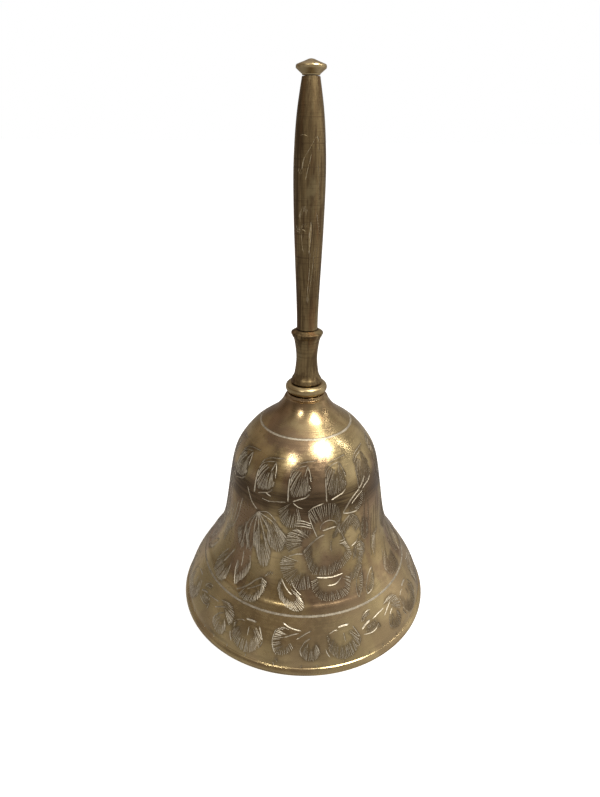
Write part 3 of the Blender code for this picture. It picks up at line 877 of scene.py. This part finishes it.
def engraved(name, engraver, rest, finishes):
    """The engraved wall closed by the surface that the rest of its outline sweeps. The first finish is its
    ground and the second is in its cuts, with an attribute for how much painted light, against painted
    shade, each face has."""
    bm = bmesh.new()
    engraver.build(bm)
    angles = [2 * math.pi * k / engraver.columns + engraver.angle(0) for k in range(engraver.columns)]
    add_turned(bm, rest, angles, closed=False)
    bmesh.ops.remove_doubles(bm, verts=bm.verts, dist=WELD)
    bmesh.ops.dissolve_degenerate(bm, edges=bm.edges, dist=WELD / 4)
    made = finished(name, bm, finishes)
    mesh = made.data
    kinds = [face.value for face in mesh.attributes["kind"].data]
    lit = [0.0] * len(mesh.polygons)
    wanted = [Vector((0, 0, 0)) for _ in mesh.loops]  # zero keeps the normal that the mesh has
    for polygon, kind in zip(mesh.polygons, kinds):
        if not kind:
            continue
        middle = polygon.center / MM
        up = engraver.up_at(middle)
        if kind == CUT:
            angle = math.atan2(middle.x, -middle.y)
            across = Vector((math.cos(angle), math.sin(angle), 0))
            upward = engraver.normal(angle, up, up).cross(across)
            tilt = Vector((polygon.normal.dot(across), polygon.normal.dot(upward)))
            # painted light on the facets that face FACET_LIGHT, painted shade on those that face away
            lit[polygon.index] = clamped(0.5 + FACET_CONTRAST * tilt.dot(FACET_LIGHT))
        elif kind == TURNED:
            low, high = min(engraver.bands, key=lambda band: abs(sum(band) / 2 - up))
            # painted light over the lower part of a turned line, painted shade over the rest
            lit[polygon.index] = LINE_LIT if up < low + LINE_LIT_PART * (high - low) else LINE_SHADED
            foot = low - LINE_FOOT
        polygon.material_index = int(kind != GROUND)
        for i in polygon.loop_indices:
            spot = mesh.vertices[mesh.loops[i].vertex_index].co
            if kind == CUT:
                wanted[i] = polygon.normal.copy()
            elif kind == TURNED:
                wanted[i] = engraver.normal(math.atan2(spot.x, -spot.y), foot, foot)
            else:
                spot = spot / MM
                wanted[i] = engraver.normal(math.atan2(spot.x, -spot.y), engraver.up_at(spot), up)
    mesh.attributes.remove(mesh.attributes["kind"])
    mesh.attributes.new("lit", "FLOAT", "FACE").data.foreach_set("value", lit)
    mesh.normals_split_custom_set(wanted)
    return made


# ---- Materials ----


class Nodes:
    """A node tree, with short calls for the nodes used here. Its place is the texture coordinate."""

    def __init__(self, tree, place):
        self.tree = tree
        self.place = self.add("TexCoord", place)

    def add(self, kind, output, inputs=None, **settings):
        """Makes a node, each of whose inputs is a value or another node's output. Returns one output."""
        made = self.tree.nodes.new("ShaderNode" + kind)
        for name, value in settings.items():
            setattr(made, name, value)
        for name, value in (inputs or {}).items():
            if isinstance(value, bpy.types.NodeSocket):
                self.tree.links.new(value, made.inputs[name])
            else:
                made.inputs[name].default_value = value
        return made.outputs[output]

    def split(self, axis):
        """One part of the place, by its axis."""
        return self.add("SeparateXYZ", axis, {"Vector": self.place})

    def noise(self, scale, detail=3.0, roughness=0.55, distortion=0.0, shift=(0, 0, 0)):
        """Noise whose size is set for each axis: scale is how many times it varies in a metre, (x, y, z)."""
        place = self.add("Mapping", "Vector", {"Vector": self.place, "Scale": scale, "Location": shift})
        return self.add("TexNoise", "Fac", {
            "Vector": place, "Scale": 1.0, "Detail": detail, "Roughness": roughness,
            "Distortion": distortion,
        })

    def attribute(self, name):
        return self.add("Attribute", "Fac", attribute_name=name)

    def fit(self, value, low, high, to_low=0.0, to_high=1.0, way="SMOOTHSTEP"):
        """The value's range from low to high fitted to another, and held at its ends."""
        return self.add("MapRange", "Result", {
            "Value": value, "From Min": low, "From Max": high, "To Min": to_low, "To Max": to_high,
        }, interpolation_type=way)

    def sum(self, a, b):
        return self.add("Math", "Value", {0: a, 1: b}, operation="ADD")

    def times(self, a, b):
        return self.add("Math", "Value", {0: a, 1: b}, operation="MULTIPLY")

    def mix(self, part, *colours):
        """Two colours, or colour outputs, mixed by a factor."""
        first, second = ((*c, 1.0) if isinstance(c, tuple) else c for c in colours)
        return self.add("Mix", "Result", {"Factor": part, "A": first, "B": second}, data_type="RGBA")

    def coat(self, colour, over, value, low, high, most):
        """A colour covered with another one in patches: the higher the value there, the more."""
        return self.mix(self.fit(value, low, high, 0.0, most), colour, over)

    def bump(self, height, distance, strength, over=None):
        inputs = {"Strength": strength, "Distance": distance, "Height": height}
        if over is not None:
            inputs["Normal"] = over
        return self.add("Bump", "Normal", inputs)


class Metal(Nodes):
    """A metal's material."""

    def __init__(self, name):
        self.material = bpy.data.materials.new(name)
        self.material.use_nodes = True
        super().__init__(self.material.node_tree, "Object")

    def finish(self, colour, rough, normal, metallic=1.0):
        shader = self.tree.nodes["Principled BSDF"]
        for name, output in (("Base Color", colour), ("Roughness", rough), ("Normal", normal)):
            self.tree.links.new(output, shader.inputs[name])
        shader.inputs["Metallic"].default_value = metallic
        return self.material


def engraved_brass():
    """Brass with old patina, turned on a lathe: fine marks run round it."""
    made = Metal("engraved brass")
    cloud = made.noise((42, 42, 42), 4, 0.6)
    drift = made.noise((64, 64, 22), 3, 0.5, 0.4)
    mottle = made.noise((420, 420, 420), 4, 0.65)
    marks = made.noise((14, 14, 2600), 5, 0.7)
    streaks = made.noise((60, 60, 900), 3, 0.6)
    height = made.split("Z")
    light, mid, dark = (0.82, 0.655, 0.35), (0.62, 0.475, 0.235), (0.30, 0.21, 0.125)
    colour = made.mix(made.fit(cloud, 0.38, 0.62), mid, light)
    colour = made.coat(colour, (0.39, 0.255, 0.17), drift, 0.46, 0.62, 0.75)
    colour = made.coat(colour, dark, mottle, 0.56, 0.74, 0.5)
    colour = made.coat(colour, dark, streaks, 0.5, 0.75, 0.25)
    colour = made.mix(made.fit(height, 0.018, 0.026, 0.5, 0.0), colour, light)
    tarnish = made.attribute("tarnish")
    patchy = made.times(made.fit(tarnish, 0.08, 0.9, 0.0, 0.8), made.fit(cloud, 0.3, 0.6, 0.55, 1.0))
    patchy = made.times(patchy, made.fit(height, 0.03, 0.058, 0.62, 1.0))
    colour = made.mix(patchy, colour, (0.155, 0.112, 0.068))
    # the dark belt under the leaves
    belt = made.times(made.fit(height, 0.056, 0.062), made.fit(height, 0.067, 0.072, 1.0, 0.0))
    belt = made.times(belt, made.fit(streaks, 0.35, 0.6, 0.65, 1.0))
    colour = made.mix(belt, colour, (0.15, 0.104, 0.06))
    crown = made.times(made.fit(height, 0.078, 0.098), made.fit(mottle, 0.42, 0.62, 0.3, 0.95))
    colour = made.mix(crown, colour, (0.40, 0.27, 0.14))
    rough = made.sum(made.fit(marks, 0.3, 0.7, 0.15, 0.25), made.fit(mottle, 0.4, 0.7, 0.0, 0.12))
    normal = made.bump(marks, 0.00003, 0.5)
    normal = made.bump(mottle, 0.00005, 0.25, normal)
    return made.finish(colour, rough, normal)


def cut_brass():
    """The brass inside a chisel cut, lighter than the ground: painted light on the facets that face up and
    to the right, painted shade on the others.
    """
    made = Metal("cut brass")
    grain = made.noise((1800, 1800, 1800), 3)
    bright = made.mix(made.fit(grain, 0.35, 0.65), (0.90, 0.84, 0.70), (0.74, 0.67, 0.52))
    shade = made.mix(made.fit(grain, 0.35, 0.65), (0.12, 0.088, 0.05), (0.20, 0.15, 0.09))
    # worn: noise that breaks up the painted light on the cuts
    worn = made.noise((520, 520, 520), 2, 0.6)
    lit = made.times(made.attribute("lit"), made.fit(worn, 0.4, 0.56, 0.72, 1.0))
    # the cuts' facets: painted light where lit is high, painted shade where it is low
    colour = made.mix(lit, shade, bright)
    rough = made.fit(grain, 0.3, 0.7, 0.48, 0.6)
    return made.finish(colour, rough, made.bump(grain, 0.00002, 0.4), metallic=0.85)


def aged_brass():
    """Dark old brass of the handle: brown and olive streaks run along it, and fine marks round it."""
    made = Metal("aged brass")
    streak = made.noise((620, 620, 34), 5, 0.72, 0.3)
    broad = made.noise((260, 260, 26), 3, 0.55)
    cloud = made.noise((120, 120, 70), 4, 0.6)
    marks = made.noise((30, 30, 1500), 4, 0.7)
    specks = made.noise((1100, 1100, 700), 4, 0.7)
    colour = made.mix(made.fit(streak, 0.38, 0.64), (0.16, 0.108, 0.055), (0.43, 0.32, 0.16))
    colour = made.coat(colour, (0.36, 0.19, 0.085), broad, 0.54, 0.66, 0.45)
    colour = made.coat(colour, (0.48, 0.39, 0.21), cloud, 0.5, 0.66, 0.6)
    colour = made.coat(colour, (0.16, 0.108, 0.058), marks, 0.5, 0.66, 0.65)
    colour = made.coat(colour, (0.12, 0.075, 0.045), specks, 0.6, 0.72, 0.7)
    rough = made.sum(made.fit(streak, 0.35, 0.65, 0.44, 0.28), made.fit(marks, 0.3, 0.7, 0.0, 0.1))
    normal = made.bump(marks, 0.00004, 0.5)
    return made.finish(colour, rough, made.bump(streak, 0.00005, 0.35, normal))


def worn_cut():
    """The inside of the handle's cuts, which handling has dulled, with painted light on the facets that face
    up and to the right and painted shade on the others.
    """
    made = Metal("worn cut")
    grain = made.noise((1300, 1300, 500), 3)
    bright = made.mix(made.fit(grain, 0.4, 0.6), (0.74, 0.64, 0.44), (0.46, 0.36, 0.2))
    shade = made.mix(made.fit(grain, 0.35, 0.65), (0.09, 0.06, 0.035), (0.16, 0.11, 0.06))
    # painted light and painted shade on the facets, by the lit attribute
    colour = made.mix(made.attribute("lit"), shade, bright)
    rough = made.fit(grain, 0.3, 0.7, 0.42, 0.58)
    return made.finish(colour, rough, made.bump(grain, 0.00002, 0.4), metallic=0.9)


def polished_brass():
    """Brass that handling keeps bright, with fine marks round it."""
    made = Metal("polished brass")
    cloud = made.noise((160, 160, 160), 4, 0.6)
    marks = made.noise((30, 30, 2400), 4, 0.65)
    colour = made.mix(made.fit(cloud, 0.35, 0.7), (0.72, 0.58, 0.32), (0.52, 0.39, 0.2))
    rough = made.fit(marks, 0.3, 0.7, 0.25, 0.38)
    return made.finish(colour, rough, made.bump(marks, 0.00002, 0.5))


def steel():
    """Dull steel with a little brown on it."""
    made = Metal("dull steel")
    cloud = made.noise((240, 240, 240), 4, 0.6)
    fine = made.noise((1500, 1500, 1500), 3, 0.6)
    colour = made.mix(made.fit(cloud, 0.35, 0.7), (0.42, 0.41, 0.39), (0.22, 0.18, 0.14))
    rough = made.fit(fine, 0.3, 0.7, 0.34, 0.5)
    return made.finish(colour, rough, made.bump(fine, 0.00003, 0.4))


# ---- The turned and engraved pieces ----


def stand_in(piece, node):
    """The piece takes the CAD node's place and body, and the CAD node is hidden."""
    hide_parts(node)
    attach(piece, nodes[node]["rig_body"])


def round_bottomed(points):
    """The line with every V cut into it made into a hollow with a round bottom, and where each one lies."""
    made, hollows = [points[0]], []
    for low, here, high in zip(points, points[1:], points[2:]):
        if turn_at(low, here, high) <= 2 * CORNER:
            made.append(here)
            continue
        middle = (low + high) / 2
        for k in range(1, 8):
            part = k / 4 - 1
            made.append(middle + (high - low) * part / 2 + (here - middle) * (1 - part * part))
        hollows.append((low, high))
    return [*made, points[-1]], hollows


def leg(before, after):
    """From one point to the next: the distance, and the direction outwards from the line between them."""
    along = (after - before).normalized()
    return (after - before).length, Vector((along.y, -along.x))


def ridged(points, foot):
    """The line with a low roll raised on it, from its corner at that height upwards."""
    low = min(range(len(points)), key=lambda i: abs(points[i].y - foot))
    made, done = points[:low + 1], 0.0
    for before, after in zip(points[low:], points[low + 1:]):
        length, outward = leg(before, after)
        if done > RIDGE_WIDTH:
            made.append(after)
            continue
        steps = max(1, round(length / RIDGE_GAP))
        for k in range(1, steps + 1):
            part = min((done + length * k / steps) / RIDGE_WIDTH, 1.0)
            rise = RIDGE_RISE * math.sin(math.pi * part) ** 2
            made.append(before + (after - before) * k / steps + outward * rise)
        done += length
    return made


def coved(points):
    """The line with a shallow cove turned into it just above its foot, which leaves a step along the lip."""
    made, done = [points[0]], 0.0
    for before, after in zip(points, points[1:]):
        length, outward = leg(before, after)
        steps = max(1, round(length / COVE_GAP)) if done < COVE_TOP else 1
        for k in range(1, steps + 1):
            up = done + length * k / steps
            sink = COVE_DEPTH * eased(clamped((up - COVE_START) / COVE_STEP))
            sink *= 1 - eased(clamped((up - COVE_START - COVE_STEP) / COVE_EASE))
            made.append(before + (after - before) * k / steps - outward * sink)
        done += length
    return made


def make_bell():
    """The bell, with a rounder bottom in its two turned lines, the roll and the cove, and its engraving."""
    loop = outline("bell_shell")
    side, hollows = round_bottomed(smooth(between(loop, WALL_FOOT, WALL_TOP), SIDE_STEPS))
    side = coved(ridged(side, hollows[0][1].y))
    wall = Wall([tuple(p) for p in side], seed=7)
    engrave_bell(wall)
    engraver = Engraver(wall, BELL_RADIUS, columns=208, row_gap=1.8, seam=197.0)
    engraver.bands = [tuple(wall.ups[nearest(side, end)] for end in ends) for ends in hollows]
    engraver.close = [(0.0, COVE_TOP)]
    rest = broken(smooth(between(loop, WALL_TOP, WALL_FOOT), INSIDE_STEPS))
    made = engraved("bell_shell_engraved", engraver, rest, [engraved_brass(), cut_brass()])
    stand_in(made, "bell_shell")


def make_grip():
    """The grip, with the worn cuts in its side."""
    loop = outline("handle_grip")
    ends = [p for p in loop if p.x > GRIP_BORE]
    foot = min(ends, key=lambda p: (round(p.y, 3), -p.x))
    top = max(ends, key=lambda p: (round(p.y, 3), p.x))
    wall = Wall([tuple(p) for p in smooth(between(loop, foot, top), SIDE_STEPS)], seed=11)
    engrave_grip(wall)
    engraver = Engraver(wall, GRIP_RADIUS, columns=64, row_gap=1.2, seam=180.0)
    rest = broken(smooth(between(loop, top, foot), INSIDE_STEPS))
    made = engraved("handle_grip_engraved", engraver, rest, [aged_brass(), worn_cut()])
    stand_in(made, "handle_grip")


def make_turned(node, finish):
    """A piece that is turned all over, in a finish that its slot is named after. Its outline is a loop, or
    ends on the axis."""
    loop = outline(node)
    closed = loop[0].x >= 0.01
    if closed:
        points = broken(smooth(loop + loop[:1], SIDE_STEPS)[:-1], closed)
    else:
        points = broken(smooth(loop, SIDE_STEPS))
    bm = bmesh.new()
    add_turned(bm, points, [math.tau * k / TURNED_COLUMNS for k in range(TURNED_COLUMNS)], closed)
    bmesh.ops.remove_doubles(bm, verts=bm.verts, dist=WELD)
    stand_in(finished(node + "_turned", bm, [finish()]), node)


# ---- The rod, the jump ring, the stem and the nuts ----


def box(node):
    """The two corners of the CAD node's box, in millimetres."""
    return [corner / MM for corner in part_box(node)]


def swept(name, course, radius, finish):
    """A bar along a course of points. The radius is a function of the point's number and of the angle round
    the bar."""
    bm = bmesh.new()
    last = len(course) - 1
    aside = Vector((1, 0, 0))
    rings = []
    for i, here in enumerate(course):
        along = (course[min(i + 1, last)] - course[max(i - 1, 0)]).normalized()
        aside = (aside - along * aside.dot(along)).normalized()
        upward = along.cross(aside)
        ring = []
        for k in range(BAR_SIDES):
            angle = 2 * math.pi * k / BAR_SIDES
            way = aside * math.cos(angle) + upward * math.sin(angle)
            ring.append(bm.verts.new(here + way * radius(i, angle)))
        rings.append(ring)
    bm.faces.new(rings[0])
    bm.faces.new(rings[-1])
    bridge(bm, rings, closed=False)
    return finished(name, bm, [finish])


def threaded(course, bare, thread, low, high):
    """A radius for swept(): bare, but with a thread cut into it between two heights."""

    def radius(i, angle):
        height = course[i].z
        size = bare(i)
        if low < height < high:
            part = (height / thread + angle / (2 * math.pi)) % 1
            fade = min(1, (height - low) / thread, (high - height) / thread)
            size -= THREAD_DEPTH * fade * (1 - abs(2 * part - 1))
        return size

    return radius


def eye_course(middle, radius, wire, upward, steps):
    """Points round an eye in the YZ plane, from its shank to its cut end, which stops short of the shank."""
    start = math.asin(1.25 * wire / radius)
    end = math.tau - math.asin((2 * wire + EYE_GAP) / radius)
    found = []
    for i in range(steps + 1):
        turn = start + (end - start) * i / steps
        found.append(Vector((0, -radius * math.sin(turn), middle + upward * radius * math.cos(turn))))
    return found


def eased_corner(points, reach):
    """The course with the bend where its straight shank meets its eye drawn as a curve."""
    inner = range(1, len(points) - 1)
    bends = [i for i in inner if turn_at(points[i - 1], points[i], points[i + 1]) > CORNER]
    for i in reversed(bends):
        here = points[i]
        back, ahead = i, i
        while back > 0 and (points[back] - here).length < reach:
            back -= 1
        while ahead < len(points) - 1 and (points[ahead] - here).length < reach:
            ahead += 1
        start, end = points[back], points[ahead]
        curve = []
        for k in range(1, 10):
            part = k / 10
            curve.append(start * (1 - part) ** 2 + here * 2 * part * (1 - part) + end * part**2)
        points = points[:back + 1] + curve + points[ahead:]
    return points


def make_tie_rod(finish):
    """The rod: a plain shank, a thread that the crown nut turns on, and an eye bent from its thinner end."""
    low, high = box("tie_rod")
    nut_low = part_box("crown_nut")[0].z / MM
    middle = low.z + ROD_WIRE + ROD_EYE
    join = middle + ROD_EYE + ROD_NECK
    fine_top = nut_low + THREAD_OVER_NUT + 1
    heights = [high.z, high.z - ROD_TOP_CHAMFER]
    heights += [fine_top - COURSE_GAP * k for k in range(ROD_FINE_POINTS)]
    heights = [*(z for z in heights if z > join), join, join - 0.3]
    course = [Vector((0, 0, z)) for z in heights]
    course = eased_corner(course + eye_course(middle, ROD_EYE, ROD_WIRE, 1, ROD_EYE_STEPS), ROD_BEND)

    def bare(i):
        size = ROD_WIRE + (high.x - ROD_WIRE) * eased(clamped((course[i].z - join) / ROD_SHOULDER))
        if i == 0:
            size -= ROD_TOP_CHAMFER
        elif i == len(course) - 1:
            size -= ROD_CHAMFER
        return size

    size = threaded(course, bare, ROD_PITCH, join + 0.2, nut_low + THREAD_OVER_NUT)
    stand_in(swept("tie_rod_bent", course, size, finish), "tie_rod")


def make_link(finish):
    """The jump ring, with the slit where its two ends were pressed together."""
    low, high = box("clapper_link")
    wire = high.y
    radius = high.x - wire
    middle = (low.z + high.z) / 2
    course = []
    for k in range(LINK_STEPS + 1):
        turn = SLIT_ANGLE + LINK_SLIT + (math.tau - 2 * LINK_SLIT) * k / LINK_STEPS
        course.append(Vector((radius * math.cos(turn), 0, middle + radius * math.sin(turn))))

    def size(i, angle):
        return wire - (LINK_CHAMFER if i in (0, LINK_STEPS) else 0)

    stand_in(swept("clapper_link_ring", course, size, finish), "clapper_link")


def make_stem(finish):
    """The clapper's stem: an eye on top, and a thread below the ball for its nut."""
    low, high = box("clapper_stem")
    middle = high.z - STEM_WIRE - STEM_EYE
    ball_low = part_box("clapper_ball")[0].z / MM
    count = sum(low.z + COURSE_GAP * k < ball_low + 1 for k in range(40))
    heights = [low.z, *(low.z + STEM_CHAMFER + COURSE_GAP * k for k in range(count))]
    heights += [ball_low + 2, middle - STEM_EYE - 4, middle - STEM_EYE - 2]
    course = [Vector((0, 0, z)) for z in heights]
    course = eased_corner(course + eye_course(middle, STEM_EYE, STEM_WIRE, -1, STEM_EYE_STEPS), STEM_BEND)

    def bare(i):
        return STEM_WIRE - (STEM_CHAMFER if i in (0, len(course) - 1) else 0)

    size = threaded(course, bare, STEM_PITCH, low.z + 0.2, ball_low + 0.4)
    stand_in(swept("clapper_stem_bent", course, size, finish), "clapper_stem")


def hexagon(angle, flats):
    """The distance from a hexagon's middle to its side, at an angle."""
    turn = (angle + math.pi / 6) % (math.pi / 3) - math.pi / 6
    return flats / 2 / math.cos(turn)


def make_nut(node, flats, bore, finish):
    """A hexagon nut with its corners turned off at both ends and its bore countersunk."""
    low, high = (corner.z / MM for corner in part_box(node))
    bm = bmesh.new()
    face = flats / 2 * NUT_FACE
    wide = bore + COUNTERSINK
    rings = []
    # each ring's radius, or None for the hexagon, its height, and which way its corners are turned off
    for size, z, way in (
        (bore, low + COUNTERSINK, 0), (wide, low, 0), (face, low, 0), (None, low, 1), (None, high, -1),
        (face, high, 0), (wide, high, 0), (bore, high - COUNTERSINK, 0),
    ):
        row = []
        for k in range(NUT_COLUMNS):
            angle = math.tau * k / NUT_COLUMNS
            reach = size or hexagon(angle, flats)
            fall = way * (reach - face) * math.tan(NUT_SLOPE)
            row.append(bm.verts.new((reach * math.cos(angle), reach * math.sin(angle), z + fall)))
        rings.append(row)
    bridge(bm, rings, closed=True)
    stand_in(finished(node + "_hexagon", bm, [finish], sharp=20), node)


# ---- Camera, lights and floor ----


def make_camera():
    """A wide lens close to the bell, looking down on it as in the photo."""
    data = bpy.data.cameras.new("camera")
    data.lens = 26
    data.sensor_width = 36
    data.clip_start = 0.01
    turn = Matrix.Rotation(math.radians(CAMERA_TURN), 4, "Z")
    dip = Matrix.Rotation(math.radians(90 - CAMERA_DIP), 4, "X")
    roll = Matrix.Rotation(math.radians(CAMERA_ROLL), 4, "Z")
    made = added("camera", data)
    made.matrix_world = Matrix.Translation(CAMERA_SPOT) @ (turn @ dip) @ roll
    bpy.context.scene.camera = made


def area_light(name, azimuth, elevation, distance, size, power, colour=(1.0, 0.97, 0.92)):
    """A rectangular light that faces the bell, from an azimuth measured from the front towards +X."""
    data = bpy.data.lights.new(name, "AREA")
    data.shape = "RECTANGLE"
    data.size, data.size_y = size
    data.energy = power
    data.color = colour
    made = added(name, data)
    turn, rise = math.radians(azimuth), math.radians(elevation)
    way = Vector((math.sin(turn) * math.cos(rise), -math.cos(turn) * math.cos(rise), math.sin(rise)))
    made.location = LIGHT_TARGET + way * distance
    made.rotation_euler = way.to_track_quat("Z", "Y").to_euler()


def level_ramp(made, height, levels):
    """The room's colour against the sine of the elevation, from (elevation, level, warmth) stops."""
    ramp = made.tree.nodes.new("ShaderNodeValToRGB")
    for i, (elevation, level, warmth) in enumerate(levels):
        spot = 0.5 + 0.5 * math.sin(math.radians(elevation))
        stop = ramp.color_ramp.elements[i] if i < 2 else ramp.color_ramp.elements.new(spot)
        stop.position = spot
        stop.color = (level, level * (1 - 0.6 * warmth), level * (1 - warmth), 1)
    made.tree.links.new(height, ramp.inputs["Fac"])
    return ramp.outputs["Color"]


def make_world():
    """White to the camera. The metal reflects a room, dim on the left and light on the right."""
    world = bpy.data.worlds.new("studio")
    world.use_nodes = True
    bpy.context.scene.world = world
    made = Nodes(world.node_tree, "Generated")
    height = made.fit(made.split("Z"), -1.0, 1.0, way="LINEAR")
    side = made.fit(made.split("X"), -0.25, 0.95)
    room = made.mix(side, level_ramp(made, height, LEFT_LEVELS), level_ramp(made, height, RIGHT_LEVELS))
    # uprights in the room, such as door frames and furniture, lighter and darker round the horizon
    uprights = made.noise((2.6, 2.6, 0.7), roughness=0.5, shift=(3.1, 1.7, 0.4))
    background = made.add("Background", "Background", {
        "Color": room, "Strength": made.fit(uprights, 0.3, 0.7, 0.5, 1.6, way="LINEAR"),
    })
    white = made.add("Background", "Background", {"Color": (1, 1, 1, 1)})
    seen = made.add("LightPath", "Is Camera Ray")
    shown = made.add("MixShader", "Shader", {"Fac": seen, 1: background, 2: white})
    made.tree.links.new(shown, made.tree.nodes["World Output"].inputs["Surface"])


def make_floor():
    """A plain pale floor."""
    mesh = bpy.data.meshes.new("floor")
    sides = (-FLOOR_REACH, FLOOR_REACH)
    mesh.from_pydata([(x, y, 0) for y in sides for x in sides], [], [(0, 1, 3, 2)])
    finish = bpy.data.materials.new("floor")
    finish.use_nodes = True
    inputs = finish.node_tree.nodes["Principled BSDF"].inputs
    inputs["Base Color"].default_value = (0.9, 0.9, 0.9, 1)
    inputs["Roughness"].default_value = 0.9
    inputs["Emission Color"].default_value = (1, 1, 1, 1)
    inputs["Emission Strength"].default_value = 0.8
    mesh.materials.append(finish)
    made = added("floor", mesh)
    made.visible_glossy = False


make_bell()
make_grip()
make_turned("base_bead", polished_brass)
make_turned("neck_ferrule", aged_brass)
make_turned("finial", polished_brass)
make_turned("crown_washer", polished_brass)
make_turned("clapper_ball", polished_brass)
grey = steel()
make_tie_rod(grey)
make_link(grey)
make_stem(grey)
make_nut("crown_nut", CROWN_NUT_FLATS, CROWN_NUT_BORE, grey)
# the clapper's nut is round in the CAD, and here a hexagon inside it
nut_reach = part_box("clapper_nut")[1].x / MM
make_nut("clapper_nut", nut_reach * 2 * math.cos(math.pi / 6), CLAPPER_NUT_BORE, grey)

make_camera()
make_world()
make_floor()
area_light("key", 47, 55, 0.9, (0.35, 0.32), 4.6, (1.0, 0.95, 0.86))
area_light("left", -26, 43, 0.9, (0.16, 0.07), 0.7)
area_light("right", 92, 40, 0.9, (0.02, 0.4), 0.3)
bpy.context.scene.view_settings.view_transform = "Standard"

bpy.context.view_layer.update()
